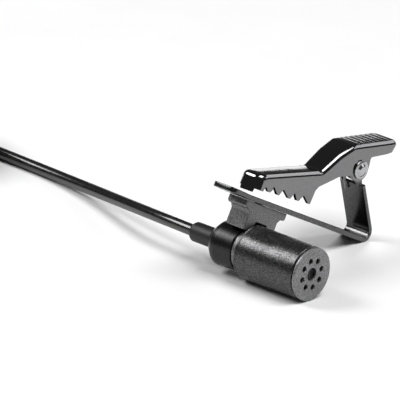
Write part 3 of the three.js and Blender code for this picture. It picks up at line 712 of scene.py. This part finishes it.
def lower_jaw():
    """The pressed band with its ears, and the recess for the rivet."""
    strip = lower_strip()
    top = STRIP_BOTTOM_Z + STRIP_THICKNESS
    shank_hole = solid_rod("shank_hole", PIN_R + CLEARANCE, top - 2, top + 1)
    recess = solid_rod("recess", RIVET_HEAD_R + 0.08, top - RIVET_RECESS, top + 1)
    for cutter in (shank_hole, recess):
        cutter.data.transform(Matrix.Rotation(-math.pi / 2, 4, "Y"))
    boolean(strip, "DIFFERENCE", shank_hole, recess)
    jaw = merged("clip_strip", strip, *inner_ears())
    return finish_piece(jaw, "lower_jaw", ["lower_jaw"], STRIP, angle=40)


def jaw_top_line():
    """The jaw's top from front to lever end, with its bends rounded."""
    slope = (JAW_END[1] - JAW_CREST[1]) / (JAW_END[0] - JAW_CREST[0])
    beyond = (LEVER_END_Y + 0.5, JAW_END[1] + slope * (LEVER_END_Y + 0.5 - JAW_END[0]))
    lead = (JAW_KNEE[1] - JAW_FRONT[1]) / (JAW_KNEE[0] - JAW_FRONT[0])
    before = (JAW_FRONT[0] - 0.5, JAW_FRONT[1] - 0.5 * lead)
    return rounded([
        (*before, 0),
        (*JAW_KNEE, 1.6),
        (*JAW_SHOULDER, 3.0),
        (*JAW_CREST, 2.2),
        (*beyond, 0),
    ], closed=False, steps=12)


def jaw_half_width(y):
    """Half of the upper jaw's width, which grows along the slope."""
    start, end = JAW_KNEE[0] - 0.3, PIVOT_Y - EAR_R - 0.4
    growth = (JAW_LEVER_WIDTH - JAW_FRONT_WIDTH) * ease((y - start) / (end - start))
    return (JAW_FRONT_WIDTH + growth) / 2


TEETH = [  # the valley before each tooth, then its tip
    ((-2.45, 9.85), (-1.3, 9.22)),
    ((-0.6, 10.3), (1.0, 9.28)),
    ((1.8, 10.4), (3.85, 9.38)),
    ((4.7, 10.5), (5.95, 9.5)),
    ((7.0, 10.6), (8.85, 9.65)),
]


def jaw_side_edge():
    """The lower edge of a side wall, from the nose to the lever's end, as (y, z, place on the top).

    The keys add a radius. They run along the teeth, up to the ear, round it and under the lever."""
    ear = arc((PIVOT_Y, PIVOT_Z), EAR_R, math.radians(225), math.radians(360), 10)
    keys = [(JAW_FRONT[0] + NOSE_R, 9.0, JAW_FRONT[0] + NOSE_R, 0)]
    for valley, (y, z) in TEETH:
        keys += [(*valley, valley[0], 0.1), (y - 0.2, z, y - 0.3, 0.12), (y + 0.2, z, y - 0.1, 0.12)]
    keys += [(9.15, 10.6, 9.0, 0.6), (9.2, 11.8, 9.3, 0.6)]
    keys += [(9.7, 12.6, 9.7, 0.6), (13.3, 15.1, 12.0, 1.0)]
    keys += [(y, z, 14.2 + 2.8 * i / 10, 0.3 if i in (0, 10) else 0) for i, (y, z) in enumerate(ear)]
    keys += [(19.05, 18.6, 17.9, 0.4), (18.85, 19.45, 18.7, 0.5), (22.4, 20.8, 21.8, 1.0)]
    keys += [(LEVER_END_Y - END_R, 21.2, LEVER_END_Y - END_R, 0)]
    edge = rounded([(y, z, radius) for y, z, _, radius in keys], closed=False, steps=4)
    result, segment = [], 0
    for y, z in edge:
        point = Vector((y, z))
        best = None
        for i in range(segment, min(segment + 3, len(keys) - 1)):
            one, two = Vector(keys[i][:2]), Vector(keys[i + 1][:2])
            along = two - one
            t = min(1.0, max(0.0, (point - one).dot(along) / along.length_squared))
            gap = (one + t * along - point).length
            if best is None or gap < best[0] - 1e-6:
                best = (gap, i, t)
        _, segment, t = best
        result.append((y, z, keys[segment][2] + (keys[segment + 1][2] - keys[segment][2]) * t))
    return result


def jaw_rim():
    """Half of the jaw's rim, from the middle of the nose to the middle of the lever's end.

    Each place has the outside of the top (x, y), the way inward (x, y) and the lower edge (y, z). Along the
    side walls x is None, and jaw_half_width gives it."""
    half, nose_y = JAW_FRONT_WIDTH / 2, JAW_FRONT[0]
    lip_half, lip_z, side_z, lean = 1.2, 8.4, 9.0, 0.25
    rim = [(x, nose_y - lean, 0, 1, nose_y, lip_z) for x in (0, 0.4)]
    for i in range(13):
        a = math.pi / 2 * i / 12
        x = half - NOSE_R * (1 - math.sin(a))
        y = nose_y + NOSE_R * (1 - math.cos(a))
        z = lip_z + (side_z - lip_z) * ease((x - lip_half + 0.1) / 0.2)
        rim.append((x, y - lean * math.cos(a), -math.sin(a), math.cos(a), y, z))
    rim += [(None, top_y, -1, 0, y, z) for y, z, top_y in jaw_side_edge()[1:]]
    lever = JAW_LEVER_WIDTH / 2
    for i in range(1, 11):
        a = math.pi / 2 * i / 10
        x, y = lever - END_R * (1 - math.cos(a)), LEVER_END_Y - END_R * (1 - math.sin(a))
        low_y, low_z = y - 0.1 * math.sin(a), 21.2 + 0.7 * ease(i / 10)
        rim.append((x, y, -math.cos(a), -math.sin(a), low_y, low_z))
    rim += [(x, LEVER_END_Y, 0, -1, LEVER_END_Y - 0.1, 21.9) for x in (0.8, 0)]
    return rim


def upper_jaw_shell():
    """A tray pressed from sheet: the top, and a wall round both sides, the nose and the lever's end."""
    top_line = jaw_top_line()
    slopes = [
        ((a[0] + b[0]) / 2, math.atan2(b[1] - a[1], b[0] - a[0])) for a, b in zip(top_line, top_line[1:])
    ]
    bend = JAW_BEND_R

    def column(place, depth):
        """Points from the lower edge up to the top, at a depth under the outside of the sheet."""
        x, y, nx, ny, low_y, low_z = place
        points = []
        for k in range(9):  # round the bend, from the wall to the top
            a = math.pi / 2 * k / 8
            inset = bend - (bend - depth) * math.cos(a)
            drop = bend - (bend - depth) * math.sin(a)
            top_y = y + ny * bend * (1 - math.cos(a))
            slope = interpolate(slopes, top_y)
            here_y = y + ny * inset + drop * math.sin(slope)
            here_x = (jaw_half_width(here_y) if x is None else x) + nx * inset
            points.append((here_x, here_y, interpolate(top_line, top_y) - drop * math.cos(slope)))
        shoulder = points[0]
        low_y += ny * depth
        wall = []
        for k in range(6):
            t = k / 6
            here_y, z = low_y + (shoulder[1] - low_y) * t, low_z + (shoulder[2] - low_z) * t
            here_x = jaw_half_width(here_y) + nx * depth if x is None else shoulder[0]
            wall.append((here_x, here_y, z))
        return wall + points

    bm = bmesh.new()
    rim = jaw_rim()
    skins = [[column(place, depth) for place in rim] for depth in (0, JAW_SHEET)]
    for sign in (1, -1):
        outer, inner = ([[(sign * x, y, z) for x, y, z in points] for points in skin] for skin in skins)
        rings_to_faces(bm, outer, closed=False)
        rings_to_faces(bm, inner, closed=False)
        rings_to_faces(bm, [[one[0], two[0]] for one, two in zip(outer, inner)], closed=False)
    for skin in skins:  # the top, between the two bends
        middle = [points[-1] for points in skin]
        for (x1, y1, z1), (x2, y2, z2) in zip(middle, middle[1:]):
            corners = [(x1, y1, z1), (-x1, y1, z1), (-x2, y2, z2), (x2, y2, z2)]
            if abs(x1) < 1e-6:
                corners.pop(1)
            if abs(x2) < 1e-6:
                corners.pop()
            bm.faces.new([bm.verts.new(c) for c in corners])
    return mesh_object("jaw_shell", bm)


def thumb_ridges():
    """The low ridges across the lever."""
    start, end = Vector(JAW_CREST), Vector(JAW_END)
    along = (end - start).normalized()
    up = Vector((-along.y, along.x))
    inset = 0.04  # of a ridge's top from its sides
    section = [(0, -0.2, 0), (RIDGE_WIDTH, -0.2, 0)]
    section += [(RIDGE_WIDTH - inset, RIDGE_HEIGHT, inset), (inset, RIDGE_HEIGHT, inset)]
    ridges = []
    for i in range(RIDGE_COUNT):
        base = start + along * (1.5 + RIDGE_PITCH * i)
        corners = []
        for a, b, radius in section:
            point = base + along * a + up * b
            corners.append((point.x, point.y, radius))
        ridges.append(slab(f"ridge{i}", [rounded(corners, steps=3)], JAW_LEVER_WIDTH - 1.3, 0.1))
    return ridges


def upper_jaw():
    """The toothed tray with its thumb lever."""
    jaw = merged("clip_jaw", upper_jaw_shell(), *thumb_ridges())
    return finish_piece(jaw, "upper_jaw", ["upper_jaw"], JAW, angle=50)


def hinge_pin():
    """The pin through both jaws, with a stepped, domed head on either side."""
    side = JAW_LEVER_WIDTH / 2 + CLEARANCE
    head = [(side, PIN_HEAD_R, 0.04), (side + 0.18, PIN_HEAD_R, 0.12), (side + 0.28, 1.1, 0.12)]
    head += [(side + 0.22, 0.95, 0.08), (side + 0.5, 0.55, 0.3), (side + 0.56, 0, 0)]
    right = [(side, PIN_R, 0), *head]
    left = [(-x, r, fillet) for x, r, fillet in reversed(right)]
    profile = rounded(left + right, closed=False)
    place = MIC_TO_ROW @ Matrix.Translation((0, PIVOT_Y, PIVOT_Z))
    pin = lathe("pin", profile, 64)
    return finish_piece(pin, "lower_jaw", ["hinge_pin"], PIN, matrix=place)


def tube(name, points, radius, sides):
    """A closed round bar along the points."""
    points = [Vector(p) for p in points]
    bm = bmesh.new()
    rings = []
    side = None
    for i, point in enumerate(points):
        ahead = points[min(i + 1, len(points) - 1)] - points[max(i - 1, 0)]
        ahead.normalize()
        if side is None:
            side = ahead.orthogonal().normalized()
        side = (side - ahead * side.dot(ahead)).normalized()
        other = ahead.cross(side)
        turn = [TAU * k / sides for k in range(sides)]
        rings.append([tuple(point + radius * (math.cos(a) * side + math.sin(a) * other)) for a in turn])
    made = rings_to_faces(bm, rings)
    bm.faces.new(made[0])
    bm.faces.new(list(reversed(made[-1])))
    return mesh_object(name, bm)


def torsion_spring():
    """The wound spring round the pin: one leg on the strap, one under the lever."""
    coil_r, wire_r, turns, half, per_turn = 1.0, 0.18, 4, 1.0, 24
    points = [(-half, 20.3, 13.8), (-half, 19.25, 14.9), (-half, 18.5, 16.0)]
    for i in range(turns * per_turn + 1):
        angle = TAU * i / per_turn
        x = -half + 2 * half * i / (turns * per_turn)
        points.append((x, PIVOT_Y + coil_r * math.cos(angle), PIVOT_Z + coil_r * math.sin(angle)))
    points += [(half, 18.5, 18.4), (half, 19.5, 20.0), (half, 20.3, 20.7)]
    obj = tube("spring.001", points, wire_r, 12)
    obj.data.transform(MIC_TO_ROW)
    smooth(obj)
    obj.data.materials.append(SPRING)
    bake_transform(obj)
    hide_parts("torsion_spring")


# ---------------------------------------------------------------- cable and plug, row frame

BOOT_MOUTH = in_row(BOOT_END_X, 0, 0) / MM
RUN_ROUTE = [  # from the boot's mouth
    (0, 0, 0),
    (-4.5, 0.2, 0),
    (-8.5, 0.86, -0.25),
    (-12.5, 1.95, -0.7),
    (-16.5, 3.25, -1.25),
    (-20.5, 4.55, -1.8),
    (-24.5, 5.75, -2.3),
    (-28.5, 6.78, -2.72),
    (-32.5, 7.57, -3.02),
    (-36.5, 8.11, -3.2),
    (-40.5, 8.44, -3.28),
    (-44.5, 8.62, -3.28),
    (-48.5, 8.8, -3.28),
    (-52.5, 8.98, -3.28),
]
COIL_JOIN = (-60.3, 9.4)  # where the run meets the outer turn, from the boot's mouth
COIL_MEAN_R, COLUMNS, LAYERS, PITCH = 10.8, 4, 4, 1.84
OUTER_TURN_R = COIL_MEAN_R + (COLUMNS - 1) / 2 * PITCH
COIL_HALF_WIDTH = (COLUMNS - 1) / 2 * PITCH + CABLE_R
TIE_THICKNESS = 0.4
COIL_BASE_Z = TIE_THICKNESS + 0.1
COIL_CENTRE = Vector((*(BOOT_MOUTH.xy + Vector(COIL_JOIN)), 0)) - Vector((0, OUTER_TURN_R, 0))
TAIL_R = COIL_MEAN_R + COIL_HALF_WIDTH + 0.3 + CABLE_R
TAIL_FROM, TAIL_TO = math.radians(118), math.radians(255)
TAIL_TOP_Z = COIL_BASE_Z + (LAYERS - 1) * PITCH + CABLE_R
TAIL_STRAIGHT = 10
TIE_TURN = math.radians(225)  # from +Y round to the tie's place on the coil
TAIL_DIRECTION = Vector((-math.sin(TAIL_TO), math.cos(TAIL_TO), 0))


def coil_cells():
    """The cell of each turn as (column from the inside, layer): out to in, then in to out, and so on."""
    cells = []
    for layer in range(LAYERS):
        columns = range(COLUMNS - 1, -1, -1) if layer % 2 == 0 else range(COLUMNS)
        cells += [(column, layer) for column in columns]
    return cells


def coil_points(per_turn=40):
    """The wound turns, each starting where the cable runs on to the coil.

    Near its end a turn moves to its next cell, and bows out of the bundle while it climbs a layer."""
    cells = coil_cells()
    shift_from, shift_to, bow = math.radians(30), math.radians(85), 0.5
    points = []
    for turn, (column, layer) in enumerate(cells):
        next_column, next_layer = cells[turn + 1] if turn + 1 < len(cells) else (column, layer)
        climbs = next_layer != layer
        outwards = 1 if column == COLUMNS - 1 else -1
        for k in range(per_turn):
            swept = TAU * k / per_turn
            angle = math.pi / 2 + swept
            t = ease((swept - TAU + math.pi / 2 - shift_from) / (shift_to - shift_from))
            at_column = column + (next_column - column) * t
            at_layer = layer + (next_layer - layer) * t
            if climbs:
                at_column += outwards * bow * math.sin(math.pi * t)
            radius = COIL_MEAN_R + (at_column - (COLUMNS - 1) / 2) * PITCH
            z = COIL_BASE_Z + CABLE_R + at_layer * PITCH
            points.append(COIL_CENTRE + Vector((radius * math.cos(angle), radius * math.sin(angle), z)))
    return points


def tail_points():
    """The end of the cable: off the top of the coil, down its outside, then straight to the plug."""
    points = []
    leave = math.pi / 2
    for i in range(6):  # off the top of the coil to its outside
        angle = leave + (TAIL_FROM - leave) * i / 6
        radius = OUTER_TURN_R + (TAIL_R - OUTER_TURN_R) * ease(i / 6)
        points.append(COIL_CENTRE + Vector((radius * math.cos(angle), radius * math.sin(angle), TAIL_TOP_Z)))
    bends = 24
    for i in range(bends + 1):  # down the outside
        angle = TAIL_FROM + (TAIL_TO - TAIL_FROM) * i / bends
        z = TAIL_TOP_Z + (CABLE_R - TAIL_TOP_Z) * ease(i / bends)
        points.append(COIL_CENTRE + Vector((TAIL_R * math.cos(angle), TAIL_R * math.sin(angle), z)))
    start = points[-1].copy()
    rise = ((2.5, CABLE_R), (5, CABLE_R + 0.5), (7.5, SHELL_R - 0.5), (TAIL_STRAIGHT, SHELL_R))
    for along, z in rise:
        points.append(Vector((start.x, start.y, z)) + TAIL_DIRECTION * along)
    return points


def smooth_path(points, steps):
    """A Catmull-Rom curve through the points."""
    result = []
    for i in range(len(points) - 1):
        before = points[max(i - 1, 0)]
        one, two = points[i], points[i + 1]
        after = points[min(i + 2, len(points) - 1)]
        for k in range(steps):
            t = k / steps
            result.append(0.5 * (
                2 * one + (two - before) * t + (2 * before - 5 * one + 4 * two - after) * t ** 2
                + (3 * one - before - 3 * two + after) * t ** 3
            ))
    result.append(points[-1])
    return result


def cable():
    """The whole cable as one curve, and the place where it ends."""
    run = [BOOT_MOUTH + Vector(step) for step in RUN_ROUTE]
    coil, tail = coil_points(), tail_points()
    path = smooth_path([*run, coil[0]], 4)[:-1] + coil + smooth_path(tail, 2)
    curve = bpy.data.curves.new("cable", "CURVE")
    curve.dimensions = "3D"
    curve.bevel_depth = CABLE_R * MM
    curve.bevel_resolution = 6
    curve.use_fill_caps = True
    spline = curve.splines.new("POLY")
    spline.points.add(len(path) - 1)
    for point, place in zip(spline.points, path):
        point.co = (*(place * MM), 1)
    spline.use_smooth = True
    obj = new_object("cable", curve)
    curve.materials.append(CABLE)
    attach(obj, "microphone")
    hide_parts("cable_run", "cable_coil", "cable_tail")
    return obj, tail[-1]


def coil_tie():
    """A hook-and-loop strap round the bundle, its end lapped over on the outside."""
    near = COIL_MEAN_R - COIL_HALF_WIDTH - 0.5
    far = COIL_MEAN_R + COIL_HALF_WIDTH + 0.3
    top = COIL_BASE_Z + (LAYERS - 1) * PITCH + 2 * CABLE_R + 0.1
    width, t = 3.2, TIE_THICKNESS
    outside = rounded([
        (near - t, 0, 1.1), (far + t, 0, 1.1), (far + t, top + t, 1.1), (near - t, top + t, 1.1),
    ], steps=8)
    inside = rounded([
        (near, t, 0.8), (far, t, 0.8), (far, top, 0.8), (near, top, 0.8),
    ], steps=8)
    band = slab("tie_band", [outside, list(reversed(inside))], width, 0.12)
    lap = rounded([
        (far + 0.1, 2.0, 0.1), (far + t, 2.0, 0.1), (far + t, 6.0, 0.1), (far + 0.1, 6.0, 0.1),
    ], steps=3)
    tab = slab("tie_tab", [lap], width - 0.5, 0.05)
    tie = merged("tie", band, tab)
    place = Matrix.Translation(COIL_CENTRE * MM) @ Matrix.Rotation(TIE_TURN, 4, "Z") @ Matrix.Scale(MM, 4)
    return finish_piece(tie, "microphone", ["coil_tie"], TIE, matrix=place)


def plug(start):
    """The plug's pieces, drawn along X from the cable's end, and laid along the tail's direction."""
    relief_end, shoulder = 8, 22
    heading = math.atan2(TAIL_DIRECTION.y, TAIL_DIRECTION.x)
    place = Matrix.Translation((start + TAIL_DIRECTION * 0.3) * MM)
    place = place @ Matrix.Rotation(heading, 4, "Z") @ Matrix.Scale(MM, 4)
    relief = [(0, 0, 0), (0, 1.45, 0.2)]
    for i in range(5):  # flexing grooves
        x = 1.2 + 1.2 * i
        radius = 1.6 + 0.7 * x / 8
        relief += [(x, radius, 0.1), (x + 0.1, radius - 0.35, 0.1), (x + 0.5, radius - 0.3, 0.1)]
        relief += [(x + 0.6, radius + 0.05, 0.1)]
    relief += [(relief_end, 2.3, 0.1), (relief_end, 0, 0)]
    relief = rounded(relief, closed=False)
    shell = rounded([
        (relief_end + 0.1, 0, 0),
        (relief_end + 0.1, 2.8, 0.15),
        (relief_end + 0.9, SHELL_R, 0.5),
        (11.0, SHELL_R, 0.1),
        (11.2, SHELL_R - 0.18, 0.1),
        (11.6, SHELL_R - 0.18, 0.1),
        (11.8, SHELL_R, 0.1),
        (shoulder - 0.45, SHELL_R, 0.15),
        (shoulder, SHELL_R - 0.4, 0.12),
        (shoulder, CONTACT_R + 0.06, 0),
        (shoulder - 6, CONTACT_R + 0.06, 0),
        (shoulder - 6, 0, 0),
    ], closed=False)
    sleeve_end = shoulder + 6.6
    ring_start, ring_end = sleeve_end + 0.7, sleeve_end + 2.8
    tip_start = ring_end + 0.7

    def band(name, start_x, end_x):
        profile = rounded([
            (start_x, CONTACT_R - 0.3, 0),
            (start_x, CONTACT_R, 0.06),
            (end_x, CONTACT_R, 0.06),
            (end_x, CONTACT_R - 0.3, 0),
        ], closed=False)
        return turned_tube(name, profile, 0.6, 64)

    tip = rounded([
        (shoulder - 4, 0, 0),
        (shoulder - 4, 0.5, 0),
        (tip_start, 0.5, 0),
        (tip_start, 1.2, 0.05),
        (tip_start + 0.8, 1.2, 0.3),
        (tip_start + 1.6, CONTACT_R, 0.3),
        (tip_start + 2.2, CONTACT_R, 0.3),
        (tip_start + 3.5, 0.9, 0.4),
        (tip_start + 4.0, 0.3, 0.3),
        (tip_start + 4.0, 0, 0),
    ], closed=False)
    grip_end = lathe("plug_grip_end", relief, 64)
    body = lathe("plug_body", shell)
    sleeve_contact = band("sleeve_contact", shoulder - 5, sleeve_end)
    rear_insulator = band("rear_insulator", sleeve_end + 0.02, ring_start - 0.02)
    ring_contact = band("ring_contact", ring_start, ring_end)
    front_insulator = band("front_insulator", ring_end + 0.02, tip_start - 0.02)
    rows = [
        (grip_end, "plug_relief", "plug_rubber", RUBBER),
        (body, "plug_shell", "plug_black", SHELL),
        (sleeve_contact, "plug_sleeve_contact", "contact_gold", GOLD),
        (rear_insulator, "plug_insulator_rear", "insulator_black", INSULATOR),
        (ring_contact, "plug_ring_contact", "contact_gold", GOLD),
        (front_insulator, "plug_insulator_front", "insulator_black", INSULATOR),
        (lathe("tip_contact", tip, 64), "plug_tip_contact", "contact_gold", GOLD),
    ]
    return [
        finish_piece(obj, "microphone", [node], material, matrix=place)
        for obj, node, slot_name, material in rows
    ]


# ---------------------------------------------------------------- studio


def studio():
    """A pale floor, four soft boxes and a dim surround. The pressed steel is dark where it sees no box."""
    bm = bmesh.new()
    bmesh.ops.create_grid(bm, x_segments=4, y_segments=4, size=6)
    bm.transform(Matrix.Translation((0, 0, -0.00003)))
    floor = mesh_object("floor", bm)
    n = Nodes("floor_white")
    speck = n.noise(40, 3.0)
    n.set(Base_Color=n.colours(speck, (0.9, 0.9, 0.9), (0.93, 0.93, 0.93)))
    n.set(Roughness=0.9, Specular_IOR_Level=0.1)
    floor.data.materials.append(n.material)

    world = bpy.data.worlds.new("studio")
    bpy.context.scene.world = world
    world.use_nodes = True
    background = world.node_tree.nodes["Background"]
    background.inputs["Color"].default_value = (1, 1, 1, 1)
    background.inputs["Strength"].default_value = 0.06

    target = in_row(4, 4, 8)
    soft_light("key", target, (-0.61, -0.4, 0.66), 0.6, (0.3, 0.26), 8.5)
    soft_light("top", target, (0.4, 0.1, 0.9), 0.6, (0.4, 0.34), 7.0)
    soft_light("back", target, (0.3, 0.87, 0.46), 0.7, (0.8, 0.2), 1.8)
    soft_light("low_back", target, (-0.61, 0.79, 0.04), 0.6, (0.9, 0.045), 1.7)


def soft_light(name, target, direction, distance, size, brightness):
    """A soft box that faces the target, its distance and size in metres. A brightness of 1 looks white."""
    data = bpy.data.lights.new(name, "AREA")
    data.shape = "RECTANGLE"
    data.size, data.size_y = size
    data.energy = brightness * math.pi * size[0] * size[1]
    light = new_object(name, data)
    towards = Vector(direction).normalized()
    facing = towards.to_track_quat("Z", "Y").to_matrix().to_4x4()
    light.matrix_world = Matrix.Translation(target + towards * distance) @ facing


def camera():
    """The photograph's view: a long lens, level with the microphone's own frame and to its right front."""
    back = (AXES @ Vector((0.61, -0.79, 0.0, 0))).to_3d().normalized()
    up = (AXES @ Vector((-0.274, -0.211, 0.938, 0))).to_3d()
    up = (up - back * up.dot(back)).normalized()
    right = up.cross(back)
    view_width = 59.52 * MM
    aim = in_row(FACE_X, 0, 0) + (-16.548 * right + 11.019 * up) * MM
    aim += back * (in_row(5, 8, 8) - aim).dot(back)  # the object's middle is at full scale
    data = bpy.data.cameras.new("camera")
    data.lens, data.sensor_width = 1000, 36
    distance = view_width * data.lens / data.sensor_width
    data.clip_start, data.clip_end = 0.5, 30
    obj = new_object("camera", data)
    rotation = Matrix((right, up, back)).transposed().to_4x4()
    obj.matrix_world = Matrix.Translation(aim + back * distance) @ rotation
    bpy.context.scene.camera = obj


camera()
studio()
bpy.context.scene.view_settings.view_transform = "Standard"

cable_object, cable_end = cable()
plug_pieces = plug(cable_end)
tie = coil_tie()

barrel()
grille_cap()
acoustic_mesh()
neck_collar()
rear_housing()
cable_boot()
mic_holder()
swivel_rivet()
lower_jaw()
upper_jaw()
hinge_pin()
torsion_spring()
